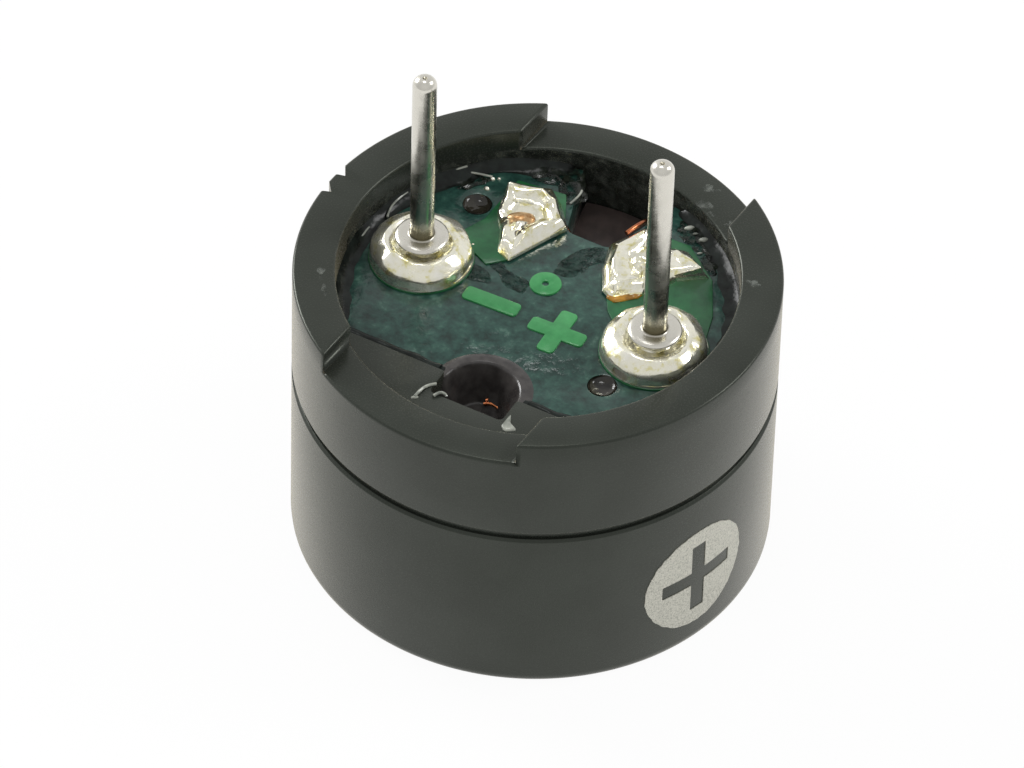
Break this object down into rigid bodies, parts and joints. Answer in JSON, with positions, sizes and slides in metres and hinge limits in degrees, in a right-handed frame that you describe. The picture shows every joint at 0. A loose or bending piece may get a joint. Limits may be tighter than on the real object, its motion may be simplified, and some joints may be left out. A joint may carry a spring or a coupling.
{
  "type": "magnetic buzzer transducer",
  "caption": "Small round sound transducer for a circuit board: black two-part case with a sound port in front, two solder pins out of its open back.",
  "frame": {"origin": "middle of the front face, on the plane that it lies on", "axes": "+Z from the front face, with the sound port, to the pin tips; +X from the middle towards the plus pin; +Y towards the coil leads"},
  "size_m": [0.012, 0.012, 0.0135],
  "materials": {
    "black_plastic": "satin moulded thermoplastic, black",
    "spring_steel": "thin rolled spring alloy, dull",
    "soft_iron": "zinc plated soft iron, dull",
    "ferrite": "sintered magnet, dark grey, matt",
    "insulation": "dark insulating film",
    "copper_wire": "copper wire under clear varnish",
    "board": "dark green solder mask over laminate, glossy",
    "masked_copper": "copper under green solder mask, lighter green, glossy",
    "tinned_pin": "tinned steel wire, bright",
    "solder": "bright solder with some yellow flux",
    "resin": "clear resin over black plastic, glossy",
    "print_ink": "light grey ink, flat"
  },
  "bodies": {
    "root": {"case": "black_plastic", "base": "black_plastic", "diaphragm": "spring_steel", "armature_disc": "soft_iron", "ring_magnet": "ferrite", "pole_core": "soft_iron", "core_sleeve": "insulation", "coil": "copper_wire", "insulating_washer": "insulation", "yoke_plate": "soft_iron", "circuit_board": "board", "track_minus": "masked_copper", "track_plus": "masked_copper", "board_mark_minus": "masked_copper", "board_mark_plus": "masked_copper", "test_pad": "masked_copper", "pin_minus": "tinned_pin", "pin_plus": "tinned_pin", "solder_minus": "solder", "solder_plus": "solder", "coil_joint_minus": "solder", "coil_joint_plus": "solder", "lead_wire_minus": "copper_wire", "lead_wire_plus": "copper_wire", "edge_resin": "resin", "polarity_print": "print_ink"}
  },
  "joints": []
}
